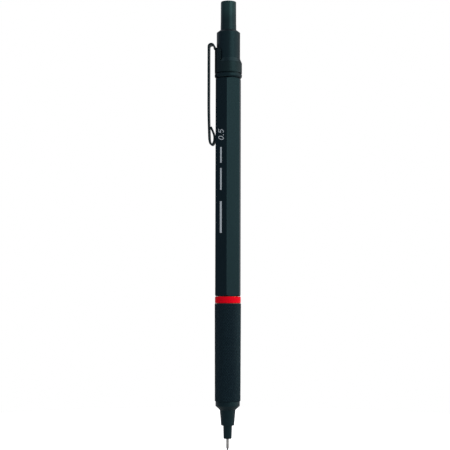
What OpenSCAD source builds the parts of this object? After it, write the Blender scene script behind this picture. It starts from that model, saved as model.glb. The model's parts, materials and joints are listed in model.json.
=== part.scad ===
// Push-button drafting pencil: hexagonal metal barrel, knurled grip, spring clip, and inside it
// a cushioned cartridge with a three-jaw chuck. The origin is the open end of the lead sleeve,
// on the axis; +Z runs up the pencil to the push button, and the clip is on the -X side.

/* [Lead and lead sleeve] */
// Diameter of the lead that the jaws grip
lead_d = 0.56; // [0.5:0.01:0.58]
// Length of a full stick of lead
lead_len = 60; // [50:1:65]
// Lead standing out of the sleeve
lead_out = 0.7; // [0.3:0.1:1.2]
// Outer diameter of the steel lead sleeve
sleeve_d = 0.88; // [0.86:0.01:0.9]
// Sleeve standing out of the nozzle
sleeve_out = 3.0; // [2.5:0.1:3.2]

/* [Tip] */
// Height of the nozzle that shows below the nose cone
nozzle_len = 4.2; // [3.8:0.1:4.6]
// Diameter of the nozzle at its mouth
nozzle_mouth_d = 2.62; // [2.3:0.02:2.7]
// Diameter of the nozzle where it meets the nose cone
nozzle_root_d = 2.88; // [2.72:0.02:2.9]
// Height of the slim cone
cone_len = 5.0; // [4.6:0.1:5.4]
// Diameter of the cone at its lower end
cone_tip_d = 4.2; // [3.9:0.02:4.3]
// Diameter of the cone under the shoulder
cone_root_d = 5.1; // [4.7:0.02:5.2]
// Height of the sloping shoulder
shoulder_len = 1.35; // [1.1:0.05:1.6]
// Height of the round flange above the shoulder
flange_len = 1.4; // [1.2:0.05:1.6]
// Diameter of that flange
flange_d = 7.85; // [7.4:0.05:8.0]

/* [Grip] */
// Length of the knurled grip
grip_len = 31.5; // [30:0.5:34]
// Diameter over the knurl at the tip end
grip_front_d = 8.3; // [8.1:0.05:8.5]
// Diameter over the knurl at the barrel end
grip_back_d = 8.54; // [8.4:0.05:8.8]
// Length of the coloured accent ring
accent_len = 2.15; // [1.8:0.05:2.6]
// Diameter of the accent ring
accent_d = 8.36; // [8.2:0.02:8.5]

/* [Barrel] */
// Length of the hexagonal barrel
barrel_len = 71.1; // [66:0.1:74]
// Distance across the flats
barrel_flats = 7.9; // [7.8:0.05:8.2]
// Distance across the blunted corners
barrel_corners = 9.0; // [8.9:0.05:9.2]
// Height of the ring that ends the barrel
end_ring_len = 1.2; // [1.0:0.05:1.4]

/* [Tail] */
// Outer diameter of the clip band and the end ring
band_d = 8.92; // [8.8:0.02:9.0]
// Height of the clip band
band_len = 3.3; // [3.0:0.1:3.6]
// Height of the cone above the band
tail_cone_len = 1.4; // [1.2:0.1:1.6]
// Outer diameter of the round tail collar
collar_d = 7.66; // [7.5:0.02:7.7]
// Length of the straight part of the collar
collar_len = 8.6; // [8.2:0.1:9.0]

/* [Clip] */
// Thickness of the clip's sheet steel
clip_t = 0.56; // [0.4:0.02:0.56]
// Width of the clip at its bend
clip_bend_w = 3.5; // [3.2:0.1:3.8]
// Width of the clip at its lower end
clip_end_w = 3.0; // [2.6:0.1:3.2]
// Distance of the outer leg's middle from the pencil's axis
clip_reach = 6.4; // [6.2:0.05:6.6]
// Height of the clip, from its bend to its lower end
clip_len = 33.6; // [32:0.2:36]

/* [Push button] */
// Diameter of the button above its bead
button_d = 5.08; // [5.0:0.02:5.1]
// Diameter of the bead at the collar's mouth
bead_d = 5.15; // [5.12:0.01:5.17]
// Height of the button above the collar
button_len = 9.5; // [9:0.1:10]

/* [Travel] */
// Travel of the push button
push_travel = 4.0; // [3.0:0.1:4.0]
// Travel of the cushioned cartridge
cushion_travel = 1.0; // [0.5:0.1:1.2]
// Distance that the sleeve slides back into the nozzle
sleeve_travel = 2.9; // [2.4:0.1:2.9]
// Travel of the clutch ring
clutch_travel = 0.8; // [0.6:0.1:0.8]

/* [Hidden] */
$fn = 96;

black = "#23292b";
grip_black = "#1b2126";
clip_black = "#161818";
red = "#cf0c22";
brass = "#b5934a";
steel = "#a8abad";
spring_steel = "#8d9194";
tube_grey = "#cfd3d6";
eraser_white = "#f1f1ee";
graphite = "#3a3b3e";
rubber = "#202020";

seam = 0.05;        // gap between outer shells, which shows as a parting line
edge = 0.12;        // small chamfer on the shells' edges
slide = 0.05;       // radial clearance of a sliding fit
snug = 0.02;        // radial clearance of a screwed or pushed fit
past = 1;           // how far a cutting tool runs past what it cuts

// Levels up the outside, each from the one below.
nozzle_z = sleeve_out;
cone_z = nozzle_z + nozzle_len + seam;
shoulder_z = cone_z + cone_len - seam;
flange_z = shoulder_z + shoulder_len;
grip_z = flange_z + flange_len + seam;
accent_z = grip_z + grip_len + seam;
barrel_z = accent_z + accent_len + seam;
end_ring_z = barrel_z + barrel_len + 2 * seam;
band_groove = 0.4;  // open groove between the end ring and the clip band
band_z = end_ring_z + end_ring_len + band_groove;
tail_cone_z = band_z + band_len + seam;
collar_z = tail_cone_z + tail_cone_len;
collar_top_z = collar_z + collar_len;
collar_chamfer = 0.83;
mouth_z = collar_top_z + collar_chamfer;
button_top_z = mouth_z + button_len;

// Bores and fits of the outer shells.
barrel_bore_r = 3.22;
core_r = 3.53;                              // grip core, under the grip and accent ring
core_bore_r = 2.55;                         // bore that the cartridge slides in
core_thread_r = barrel_bore_r - snug;
nose_thread_r = 3.05;
nose_thread_len = 6;
core_thread_len = 8.3;
band_bore_r = band_d / 2 - clip_t;
button_bore_r = bead_d / 2 + 0.065;         // the collar's bore, which guides the button

// Sleeve, slider and nozzle.
sleeve_bore_r = lead_d / 2 + 0.03;
sleeve_len = 5.6;
sleeve_straight = sleeve_out - 0.05;        // above this it tapers, to press into the slider
sleeve_taper = 0.04;                        // by so much in radius at its upper end
slider_stem_r = 0.9;
slider_z = sleeve_out + 0.9;                // lower end of the slider's stem
spigot_r = 1.52;                            // nozzle's spigot in the cone
spigot_top_z = cone_z + 2.2;
slider_flange_z = spigot_top_z + seam;
slider_flange_r = 1.65;
slider_flange_len = 1.0;
slider_top_z = slider_flange_z + 1.9;
brake_z = slider_flange_z + 0.42;
brake_r = 0.9;
brake_len = 1.2;
chamber_r = slider_flange_r + 0.1;

// Cartridge, from its seat in the nose cone upwards.
seat_z = grip_z + 0.1;
housing_z = seat_z + seam;
housing_r = core_bore_r - 0.1;
cartridge_bore_r = 1.95;
jaw_z = slider_top_z + sleeve_travel + push_travel + 0.3;   // lower end of the closed jaws
jaw_len = 8.4;
jaw_head_r = 1.35;
jaw_stem_r = 1.0;
jaw_cone_z = jaw_z + 1.8;                   // where the head starts to taper
jaw_cone_len = 1.6;
jaw_slit = 0.2;
jaw_root_z = jaw_z + jaw_len;
clutch_z = jaw_cone_z + 0.4;
clutch_len = 2.6;
clutch_r = cartridge_bore_r - slide;
clutch_stop_z = clutch_z - clutch_travel - 0.1;
jaw_bay_r = 1.7;                            // bore below the clutch ring's stop
spring_seat_z = clutch_z + clutch_len + 1.6;
spring_seat_len = 1.0;
spring_seat_hole_r = 1.25;
housing_thread_r = 2.2;
housing_thread_z = spring_seat_z + 2;
housing_top_z = housing_thread_z + 4;
main_spring_len = 15;
adapter_flange_z = spring_seat_z + main_spring_len;
adapter_flange_r = cartridge_bore_r - 0.1;
adapter_flange_len = 1.0;
lead_tube_r = 1.75;
lead_tube_bore_r = 1.25;
cartridge_lip_z = adapter_flange_z + adapter_flange_len + seam;
cartridge_top_z = cartridge_lip_z + 1.45;
cushion_spring_len = 6.5 + cushion_travel;
cushion_stop_z = cartridge_top_z + cushion_spring_len;
cushion_stop_len = 3;

// Chuck shank, adapter and lead tube, which the push button drives.
shank_r = 1.05;
shank_bore_r = 0.5;
flex_gap = 0.06;                            // stands in for the jaw's and the clip's own flexing
shank_z = jaw_root_z + flex_gap;
shank_top_z = adapter_flange_z - 1.5;
adapter_z = shank_top_z - 2.5;
adapter_socket_r = 1.3;
adapter_top_z = adapter_flange_z + 4;
lead_tube_z = adapter_flange_z + adapter_flange_len;
lead_tube_top_z = mouth_z + 2.3;
ferrule_r = 1.93;
ferrule_z = mouth_z - 1.7;
ferrule_top_z = lead_tube_top_z + 2.3;
eraser_r = 1.48;
eraser_z = lead_tube_top_z + 0.1;
eraser_top_z = eraser_z + 5.2;

// Tail collar.
collar_thread_len = 7.4;
collar_shank_r = band_bore_r - slide;
saddle_half_w = 3.6;                        // half the width of the clip's saddle on the collar
saddle_corner_r = 0.9;
saddle_top_z = collar_z + 3.2;
guide_len = 3;

// Outer radius of the lead sleeve's tapered end at height z.
function sleeve_r(z) =
    sleeve_d / 2 - sleeve_taper * (z - sleeve_straight) / (sleeve_len - sleeve_straight);

// Points on an arc about [x, y], from angle a0 to a1.
function arc(x, y, r, a0, a1, steps = 8) =
    [for (i = [0:steps]) let (a = a0 + (a1 - a0) * i / steps) [x + r * cos(a), y + r * sin(a)]];

// Points on a cubic curve from p0 to p3, without p0 itself.
function bezier(p0, p1, p2, p3, steps = 10) = [
    for (i = [1:steps])
        let (t = i / steps, s = 1 - t)
            s * s * s * p0 + 3 * s * s * t * p1 + 3 * s * t * t * p2 + t * t * t * p3
];

function reversed(list) = [for (i = [len(list) - 1:-1:0]) list[i]];

// A turned solid: its outline is given as [radius, height] points.
module turned(outline) rotate_extrude() polygon(outline);

// A plain tube with chamfered outer edges.
module tube(r, bore_r, z0, z1, c = 0) {
    turned([
        [bore_r, z0], [r - c, z0], [r, z0 + c], [r, z1 - c], [r - c, z1], [bore_r, z1]
    ]);
}

// A flat outline given as [height, width] points, carried out to the clip's side of the pencil.
module towards_clip(outline) {
    rotate([0, -90, 0])
        linear_extrude(height = clip_reach + past)
            polygon(outline);
}

// ---- Coil springs ----

// Height of the wire's middle after so many turns; each end has one closed turn.
function coil_z(t, turns, wire, length) =
    let (pitch = 1.15 * wire, free = length - wire - 2 * pitch)
        wire / 2 + (t < 1 ? pitch * t
            : t > turns - 1 ? length - wire - pitch * (turns - t)
            : pitch + free * (t - 1) / (turns - 2));

// The ring of wire points around one place on the coil.
function coil_ring(t, turns, r, wire, length, sides) =
    let (
        a = 360 * t,
        step = 0.01,
        t0 = max(t - step, 0),
        t1 = min(t + step, turns),
        rise = coil_z(t1, turns, wire, length) - coil_z(t0, turns, wire, length),
        run = 2 * PI * r * (t1 - t0),
        slope = atan2(rise, run),
        out = [cos(a), sin(a), 0],
        up = [sin(a) * sin(slope), -cos(a) * sin(slope), cos(slope)],
        middle = [r * cos(a), r * sin(a), coil_z(t, turns, wire, length)]
    )
        [for (k = [0:sides - 1])
            middle + wire / 2 * (cos(360 * k / sides) * out + sin(360 * k / sides) * up)];

module coil_spring(turns, r, wire, length, sides = 8, steps = 14) {
    rings = turns * steps;
    points = [for (i = [0:rings]) each coil_ring(i / steps, turns, r, wire, length, sides)];
    sleeve = [
        for (i = [0:rings - 1], k = [0:sides - 1])
            let (n = (k + 1) % sides)
                [i * sides + k, (i + 1) * sides + k, (i + 1) * sides + n, i * sides + n]
    ];
    start = [for (k = [0:sides - 1]) k];
    end = [for (k = [sides - 1:-1:0]) rings * sides + k];
    polyhedron(points, concat(sleeve, [start, end]));
}

// ---- Clip ----
// The clip's middle line is drawn as [distance from the axis, height].

clip_mid_r = band_d / 2 - clip_t / 2;
bend_r = 0.9;
bend_x = clip_reach - bend_r;
bend_z = mouth_z - 5.42;
clip_low_z = bend_z + bend_r - clip_len + clip_t;
belly_x = 4.44;
belly_z = clip_low_z + 2.04;

inner_leg = concat(
    [[clip_mid_r, saddle_top_z - 1.5], [clip_mid_r, saddle_top_z - 1]],
    bezier([clip_mid_r, saddle_top_z - 1], [clip_mid_r, saddle_top_z - 0.6],
        [bend_x - bend_r, bend_z - 0.8], [bend_x - bend_r, bend_z]),
    reversed(arc(bend_x, bend_z, bend_r, 90 + 180 * flex_gap / 2 / (PI * bend_r), 172))
);

outer_leg = concat(
    reversed(arc(bend_x, bend_z, bend_r, 0, 90 - 180 * flex_gap / 2 / (PI * bend_r))),
    bezier([clip_reach, clip_low_z + 14], [clip_reach, clip_low_z + 9],
        [clip_reach - 0.16, clip_low_z + 5.1], [clip_reach - 0.28, clip_low_z + 1.94]),
    bezier([clip_reach - 0.28, clip_low_z + 1.94], [clip_reach - 0.4, clip_low_z + 0.64],
        [clip_reach - 0.65, clip_low_z], [clip_reach - 1.15, clip_low_z]),
    bezier([clip_reach - 1.15, clip_low_z], [clip_reach - 1.65, clip_low_z],
        [belly_x, clip_low_z + 0.94], [belly_x, belly_z]),
    bezier([belly_x, belly_z], [belly_x, belly_z + 1.4],
        [clip_reach - 1.2, belly_z + 2.5], [clip_reach - 0.17 - clip_t, belly_z + 3.8])
);

// Unit normal of a line at point i.
function normal_at(line, i) =
    let (
        a = line[max(i - 1, 0)],
        b = line[min(i + 1, len(line) - 1)],
        d = (b - a) / norm(b - a)
    )
        [-d[1], d[0]];

// A strip of sheet of thickness t that follows a line, w wide across the pencil.
module strip(line, t, w) {
    left = [for (i = [0:len(line) - 1]) line[i] + normal_at(line, i) * t / 2];
    right = [for (i = [0:len(line) - 1]) line[i] - normal_at(line, i) * t / 2];
    rotate([90, 0, 0])
        linear_extrude(height = w, center = true)
            mirror([1, 0])
                polygon(concat(left, reversed(right)));
}

// The arm's outline seen from its front: it narrows from the bend to its rounded lower end.
function arm_outline() =
    let (corner = 0.6, low_z = clip_low_z - clip_t)
        concat(
            [[mouth_z, clip_bend_w / 2], [mouth_z, -clip_bend_w / 2]],
            arc(low_z + corner, -clip_end_w / 2 + corner, corner, 270, 180),
            arc(low_z + corner, clip_end_w / 2 - corner, corner, 180, 90)
        );

// The saddle's outline seen from the same side, with rounded shoulders at the top.
function saddle_outline(gap) =
    let (r = saddle_corner_r, w = saddle_half_w + gap)
        concat(
            [[band_z + band_len / 2, w]],
            arc(saddle_top_z - r, w - r, r, 90, 0),
            arc(saddle_top_z - r, r - w, r, 0, -90),
            [[band_z + band_len / 2, -w]]
        );

module clip_band() color(clip_black) {
    tube(band_d / 2, band_bore_r, band_z, band_z + band_len);
    intersection() {
        tube(band_d / 2, band_bore_r, band_z + band_len / 2, saddle_top_z);
        towards_clip(saddle_outline(0));
    }
    intersection() {
        strip(inner_leg, clip_t, clip_bend_w);
        towards_clip(arm_outline());
    }
}

module clip_arm() color(clip_black) intersection() {
    strip(outer_leg, clip_t, clip_bend_w);
    towards_clip(arm_outline());
}

// ---- Outer shells ----

module nozzle() color(black) {
    mouth_r = nozzle_mouth_d / 2;
    lip = 0.28;
    slider_bore_z = slider_z - 2 * seam;
    turned(concat(
        [[sleeve_d / 2 + slide, nozzle_z]],
        arc(mouth_r - lip, nozzle_z + lip, lip, 270, 360),
        [
            [nozzle_root_d / 2, nozzle_z + nozzle_len],
            [spigot_r, nozzle_z + nozzle_len],
            [spigot_r, spigot_top_z],
            [slider_stem_r + slide, spigot_top_z],
            [slider_stem_r + slide, slider_bore_z],
            [sleeve_d / 2 + slide, slider_bore_z]
        ]
    ));
}

module nose_cone() color(black) {
    tip_edge = 0.22;
    turned([
        [spigot_r + snug, cone_z],
        [cone_tip_d / 2 - tip_edge, cone_z],
        [cone_tip_d / 2, cone_z + tip_edge],
        [cone_root_d / 2, shoulder_z],
        [flange_d / 2 - edge, flange_z - edge],
        [flange_d / 2, flange_z + edge],
        [flange_d / 2, grip_z - seam - edge],
        [flange_d / 2 - edge, grip_z - seam],
        [nose_thread_r, grip_z - seam],
        [nose_thread_r, seat_z + nose_thread_len],
        [core_bore_r, seat_z + nose_thread_len],
        [core_bore_r, seat_z],
        [chamber_r, seat_z],
        [chamber_r, spigot_top_z],
        [spigot_r + snug, spigot_top_z]
    ]);
}

module grip() color(grip_black) {
    turned([
        [core_r + snug, grip_z],
        [grip_front_d / 2 - edge, grip_z],
        [grip_front_d / 2, grip_z + edge],
        [grip_back_d / 2, grip_z + grip_len - edge],
        [grip_back_d / 2 - edge, grip_z + grip_len],
        [core_r + snug, grip_z + grip_len]
    ]);
}

module grip_core() color(brass) {
    shell_top_z = barrel_z - seam;
    turned([
        [nose_thread_r + snug, grip_z + seam],
        [core_r, grip_z + seam],
        [core_r, shell_top_z],
        [core_thread_r, shell_top_z],
        [core_thread_r, shell_top_z + core_thread_len],
        [core_bore_r, shell_top_z + core_thread_len],
        [core_bore_r, seat_z + nose_thread_len + seam],
        [nose_thread_r + snug, seat_z + nose_thread_len + seam]
    ]);
}

module accent_ring() color(red) {
    turned([
        [core_r + snug, accent_z],
        [accent_d / 2 - edge, accent_z],
        [accent_d / 2, accent_z + 2 * edge],
        [accent_d / 2, accent_z + accent_len - 3 * edge],
        [accent_d / 2 - edge, accent_z + accent_len],
        [core_r + snug, accent_z + accent_len]
    ]);
}

module barrel() color(black) {
    corner_r = barrel_corners / 2;
    flat_r = barrel_flats / 2;
    facing = 0.3;   // height of the turned chamfer at each end
    top_z = barrel_z + barrel_len;
    intersection() {
        translate([0, 0, barrel_z - past])
            rotate([0, 0, 30])
                cylinder(r = flat_r / cos(30), h = barrel_len + 2 * past, $fn = 6);
        turned([
            [barrel_bore_r, barrel_z],
            [flat_r, barrel_z],
            [corner_r, barrel_z + facing],
            [corner_r, top_z - facing],
            [flat_r, top_z],
            [barrel_bore_r, top_z]
        ]);
    }
}

module end_ring() color(black) {
    top_z = end_ring_z + end_ring_len;
    bevel_w = 0.3;
    bevel_h = 0.42;
    turned([
        [barrel_bore_r + snug, end_ring_z],
        [band_d / 2 - bevel_w, end_ring_z],
        [band_d / 2, end_ring_z + bevel_h],
        [band_d / 2, top_z - edge],
        [band_d / 2 - edge, top_z],
        [barrel_bore_r + snug, top_z]
    ]);
}

module tail_collar() color(black) {
    shank_top_z = band_z - band_groove + 2 * seam;
    difference() {
        turned([
            [button_bore_r, end_ring_z - collar_thread_len],
            [core_thread_r, end_ring_z - collar_thread_len],
            [core_thread_r, shank_top_z],
            [collar_shank_r, shank_top_z],
            [collar_shank_r, tail_cone_z],
            [band_d / 2 - edge / 2, tail_cone_z],
            [collar_d / 2, collar_z],
            [collar_d / 2, collar_top_z],
            [button_bore_r + 0.1, mouth_z],
            [button_bore_r, mouth_z]
        ]);
        // The clip's saddle rises through this gap in the cone.
        difference() {
            towards_clip(saddle_outline(seam));
            cylinder(r = collar_shank_r, h = mouth_z);
        }
    }
}

module tube_guide() color(tube_grey) {
    low_z = end_ring_z - collar_thread_len;
    tube(button_bore_r - snug, lead_tube_r + slide, low_z, low_z + guide_len);
}

// ---- Cartridge ----

module cushion_stop() color(brass) {
    tube(core_bore_r - snug, lead_tube_r + 3 * slide, cushion_stop_z, cushion_stop_z + cushion_stop_len);
}

module cushion_spring() color(spring_steel) {
    translate([0, 0, cartridge_top_z])
        coil_spring(turns = 7, r = 2.2, wire = 0.4, length = cushion_spring_len);
}

module main_spring() color(spring_steel) {
    translate([0, 0, spring_seat_z])
        coil_spring(turns = 13, r = 1.58, wire = 0.34, length = main_spring_len);
}

module chuck_housing() color(brass) {
    seat_low_z = spring_seat_z - spring_seat_len;
    turned([
        [jaw_bay_r, housing_z],
        [housing_r - edge, housing_z],
        [housing_r, housing_z + edge],
        [housing_r, housing_thread_z],
        [housing_thread_r, housing_thread_z],
        [housing_thread_r, housing_top_z],
        [cartridge_bore_r, housing_top_z],
        [cartridge_bore_r, spring_seat_z],
        [spring_seat_hole_r, spring_seat_z],
        [spring_seat_hole_r, seat_low_z],
        [cartridge_bore_r, seat_low_z],
        [cartridge_bore_r, clutch_stop_z],
        [jaw_bay_r, clutch_stop_z]
    ]);
}

module cartridge_tube() color(brass) {
    turned([
        [housing_thread_r + snug, housing_thread_z + seam],
        [housing_r, housing_thread_z + seam],
        [housing_r, cartridge_top_z - edge],
        [housing_r - edge, cartridge_top_z],
        [lead_tube_r + slide, cartridge_top_z],
        [lead_tube_r + slide, cartridge_lip_z],
        [cartridge_bore_r, cartridge_lip_z],
        [cartridge_bore_r, housing_top_z + seam],
        [housing_thread_r + snug, housing_top_z + seam]
    ]);
}

module clutch_ring() color(brass) {
    // The lower part of the bore is a cone that closes the jaws, clear of them by a hair.
    fall = (jaw_head_r - jaw_stem_r) / jaw_cone_len;
    mouth_r = jaw_head_r - fall * (clutch_z - jaw_cone_z) + snug;
    bore_r = 1.15;
    turned([
        [mouth_r, clutch_z],
        [clutch_r, clutch_z],
        [clutch_r, clutch_z + clutch_len],
        [bore_r, clutch_z + clutch_len],
        [bore_r, clutch_z + (mouth_r - bore_r) / fall]
    ]);
}

// One of three jaws; turn is its place about the axis.
module chuck_jaw(turn) color(brass) {
    grip_r = lead_d / 2 + 0.01;
    grip_top_z = jaw_z + 1.6;       // above the gripping faces the bore is wider
    mouth_edge = 0.1;
    head_edge = 0.3;
    apex = jaw_slit / 2 / sin(60);
    reach = 3;
    rotate([0, 0, turn]) intersection() {
        turned([
            [grip_r + mouth_edge, jaw_z],
            [jaw_head_r - head_edge, jaw_z],
            [jaw_head_r, jaw_z + head_edge],
            [jaw_head_r, jaw_cone_z],
            [jaw_stem_r, jaw_cone_z + jaw_cone_len],
            [jaw_stem_r, jaw_root_z],
            [shank_bore_r, jaw_root_z],
            [shank_bore_r, grip_top_z + shank_bore_r - grip_r],
            [grip_r, grip_top_z],
            [grip_r, jaw_z + mouth_edge]
        ]);
        translate([apex, 0, jaw_z - past])
            linear_extrude(height = jaw_len + 2 * past)
                polygon([[0, 0], [reach, -reach * tan(60)], [reach, reach * tan(60)]]);
    }
}

module chuck_jaw_a() chuck_jaw(0);
module chuck_jaw_b() chuck_jaw(120);
module chuck_jaw_c() chuck_jaw(240);

module chuck_shank() color(brass) {
    tube(shank_r, shank_bore_r, shank_z, shank_top_z);
}

module chuck_adapter() color(brass) {
    push_in_r = lead_tube_bore_r - snug;
    wall = 0.2;
    funnel_len = 1.5;
    turned([
        [shank_r + snug, adapter_z],
        [adapter_socket_r, adapter_z],
        [adapter_socket_r, adapter_flange_z],
        [adapter_flange_r, adapter_flange_z],
        [adapter_flange_r, adapter_flange_z + adapter_flange_len],
        [push_in_r, adapter_flange_z + adapter_flange_len],
        [push_in_r, adapter_top_z],
        [push_in_r - wall, adapter_top_z],
        [shank_bore_r, adapter_top_z - funnel_len],
        [shank_bore_r, shank_top_z],
        [shank_r + snug, shank_top_z]
    ]);
}

module lead_tube() color(tube_grey) {
    tube(lead_tube_r, lead_tube_bore_r, lead_tube_z, lead_tube_top_z);
}

// ---- Push button end ----

module eraser_ferrule() color(brass) {
    turned([
        [lead_tube_r + snug, ferrule_z],
        [ferrule_r - edge, ferrule_z],
        [ferrule_r, ferrule_z + edge],
        [ferrule_r, ferrule_top_z - edge],
        [ferrule_r - edge, ferrule_top_z],
        [eraser_r + snug, ferrule_top_z],
        [eraser_r + snug, lead_tube_top_z],
        [lead_tube_r + snug, lead_tube_top_z]
    ]);
}

module eraser() color(eraser_white) {
    round_r = 0.35;
    turned(concat(
        [[0, eraser_z], [eraser_r, eraser_z]],
        arc(eraser_r - round_r, eraser_top_z - round_r, round_r, 0, 90),
        [[0, eraser_top_z]]
    ));
}

module push_button() color(black) {
    round_r = 0.3;
    skirt_z = mouth_z - 1.5;
    bead_top_z = mouth_z + 1.7;
    bead_bevel = (bead_d - button_d) / 2;
    top_r = button_d / 2 - 0.06;
    crown = 0.9;                    // thickness of the closed end
    eraser_room_r = eraser_r + 0.25;
    room_z = ferrule_top_z + 0.2;
    turned(concat(
        [
            [ferrule_r + snug, skirt_z],
            [button_d / 2, skirt_z],
            [button_d / 2, mouth_z],
            [bead_d / 2, mouth_z + bead_bevel],
            [bead_d / 2, bead_top_z - bead_bevel],
            [button_d / 2, bead_top_z]
        ],
        arc(top_r - round_r, button_top_z - round_r, round_r, 0, 90),
        [
            [0, button_top_z],
            [0, button_top_z - crown],
            [eraser_room_r, button_top_z - crown],
            [eraser_room_r, room_z],
            [ferrule_r + snug, room_z]
        ]
    ));
}

// ---- Lead and the retracting sleeve ----

module lead() color(graphite) {
    translate([0, 0, -lead_out]) cylinder(d = lead_d, h = lead_len);
}

// Spare sticks that stand in the lead tube around the working lead.
module spare_leads() color(graphite) {
    count = 3;
    from_axis = 0.78;
    for (i = [0:count - 1])
        rotate([0, 0, 360 / count * i])
            translate([from_axis, 0, adapter_top_z])
                cylinder(d = lead_d, h = lead_len);
}

module lead_sleeve() color(steel) {
    turned([
        [sleeve_bore_r, 0],
        [sleeve_d / 2, 0],
        [sleeve_d / 2, sleeve_straight],
        [sleeve_r(sleeve_len), sleeve_len],
        [sleeve_bore_r, sleeve_len]
    ]);
}

module sleeve_slider() color(brass) {
    rim_r = 1.3;
    turned([
        [sleeve_r(slider_z) + snug, slider_z],
        [slider_stem_r, slider_z],
        [slider_stem_r, slider_flange_z],
        [slider_flange_r, slider_flange_z],
        [slider_flange_r, slider_flange_z + slider_flange_len],
        [rim_r, slider_top_z],
        [brake_r + snug, slider_top_z],
        [brake_r + snug, brake_z - snug],
        [sleeve_bore_r, brake_z - snug],
        [sleeve_bore_r, sleeve_len + snug],
        [sleeve_r(sleeve_len) + snug, sleeve_len + snug]
    ]);
}

// Rubber ring that stops a loose lead from dropping back.
module lead_brake() color(rubber) {
    tube(brake_r, lead_d / 2 + 0.01, brake_z, brake_z + brake_len, 0.1);
}

nozzle();
nose_cone();
grip();
grip_core();
accent_ring();
barrel();
end_ring();
clip_band();
clip_arm();
tail_collar();
tube_guide();
cushion_stop();
cushion_spring();
chuck_housing();
cartridge_tube();
main_spring();
clutch_ring();
chuck_jaw_a();
chuck_jaw_b();
chuck_jaw_c();
chuck_shank();
chuck_adapter();
lead_tube();
eraser_ferrule();
spare_leads();
push_button();
eraser();
lead();
lead_sleeve();
sleeve_slider();
lead_brake();
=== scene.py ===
"""Looks of a push-button drafting pencil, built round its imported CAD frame.

Sizes are in millimetres, and heights run up from the open end of the lead sleeve.
"""

import json
import math

import bmesh
import bpy
import numpy as np
from mathutils import Matrix, Vector


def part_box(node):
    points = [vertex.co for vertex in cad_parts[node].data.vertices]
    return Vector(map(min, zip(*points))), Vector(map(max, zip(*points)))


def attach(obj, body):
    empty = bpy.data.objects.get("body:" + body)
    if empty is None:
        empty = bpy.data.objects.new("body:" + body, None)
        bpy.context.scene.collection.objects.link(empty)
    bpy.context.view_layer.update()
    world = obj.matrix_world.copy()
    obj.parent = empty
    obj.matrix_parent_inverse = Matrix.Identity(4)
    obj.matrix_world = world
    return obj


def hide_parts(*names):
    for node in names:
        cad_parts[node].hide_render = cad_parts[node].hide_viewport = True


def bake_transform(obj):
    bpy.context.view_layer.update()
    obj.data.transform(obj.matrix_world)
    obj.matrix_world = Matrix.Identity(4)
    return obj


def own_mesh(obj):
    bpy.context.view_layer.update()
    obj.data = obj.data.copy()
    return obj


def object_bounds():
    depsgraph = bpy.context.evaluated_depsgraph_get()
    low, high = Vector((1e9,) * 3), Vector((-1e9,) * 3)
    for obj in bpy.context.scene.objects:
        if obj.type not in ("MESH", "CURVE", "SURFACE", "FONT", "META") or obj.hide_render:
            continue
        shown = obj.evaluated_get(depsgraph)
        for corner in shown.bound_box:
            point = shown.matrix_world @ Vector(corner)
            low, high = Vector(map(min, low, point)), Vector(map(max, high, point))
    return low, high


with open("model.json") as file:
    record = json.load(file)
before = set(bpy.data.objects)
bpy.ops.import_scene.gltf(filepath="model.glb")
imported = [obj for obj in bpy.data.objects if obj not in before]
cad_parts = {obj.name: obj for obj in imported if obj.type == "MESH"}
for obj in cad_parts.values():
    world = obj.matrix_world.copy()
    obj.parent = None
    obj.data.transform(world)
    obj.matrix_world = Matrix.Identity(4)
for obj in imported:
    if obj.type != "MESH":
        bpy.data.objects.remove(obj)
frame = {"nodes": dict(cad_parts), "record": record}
cad_low, cad_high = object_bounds()

MM = 0.001
SEGMENTS = 128              # faces round a turned piece
SOFT_EDGE = 0.05            # rounding of a machined edge
SHARP = math.radians(34)    # a steeper edge isn't shaded smooth


# ---- Measures from the frame ----

def heights(node):
    """Lowest and highest point of a CAD node."""
    low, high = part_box(node)
    return low.z / MM, high.z / MM


def radius(node):
    """Outer radius of a round CAD node, measured across the pencil."""
    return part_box(node)[1].y / MM


NOZZLE_Z, SPIGOT_TOP = heights("nozzle")
CONE_Z, NECK_TOP = heights("nose_cone")
GRIP_Z, GRIP_TOP = heights("grip")
RING_Z, RING_TOP = heights("accent_ring")
BARREL_Z, BARREL_TOP = heights("barrel")
END_Z, END_TOP = heights("end_ring")
BAND_Z = heights("clip_band")[0]
BAND_LEN = 3.3
BAND_TOP = BAND_Z + BAND_LEN
CLIP_LOW, CLIP_TOP = heights("clip_arm")
BEND_RISE = 1.99        # how far the clip's bend stands above its saddle
SADDLE_TOP = CLIP_TOP - BEND_RISE
COLLAR_LOW, MOUTH_Z = heights("tail_collar")
BUTTON_LOW, BUTTON_TOP = heights("push_button")
FLANGE_R = radius("nose_cone")
GRIP_R = radius("grip")
BAND_R = radius("clip_band")

SEAM = 0.05             # parting line between two shells
CORE_FIT = 3.55         # bore of the pieces that slip over the grip core
FLAT_R = 3.93           # barrel, from the axis to a flat's edge
CORNER_R = 4.50         # and to a blunted corner
CROWN = 0.04            # how far polishing leaves a flat's middle above its edges
BARREL_BORE = 3.22
SHEET = 0.56            # thickness of the clip's sheet steel
SHEET_R = BAND_R - SHEET / 2
CLIP_REACH = 6.40       # from the axis to the middle of the clip's outer leg


# ---- Mesh helpers ----

def corner_curve(corners, steps=5):
    """Points of an outline whose corners are (across, up, rounding)."""
    points = []
    for i, (x, y, size) in enumerate(corners):
        here = Vector((x, y))
        if size == 0:
            points.append(here)
            continue
        back = Vector(corners[i - 1][:2]) - here
        onward = Vector(corners[(i + 1) % len(corners)][:2]) - here
        cut = size / math.tan(back.angle(onward) / 2)
        start = here + back.normalized() * min(cut, 0.45 * back.length)
        end = here + onward.normalized() * min(cut, 0.45 * onward.length)
        for k in range(steps + 1):
            t = k / steps
            points.append(start * (1 - t) ** 2 + here * 2 * t * (1 - t) + end * t ** 2)
    return points


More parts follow.
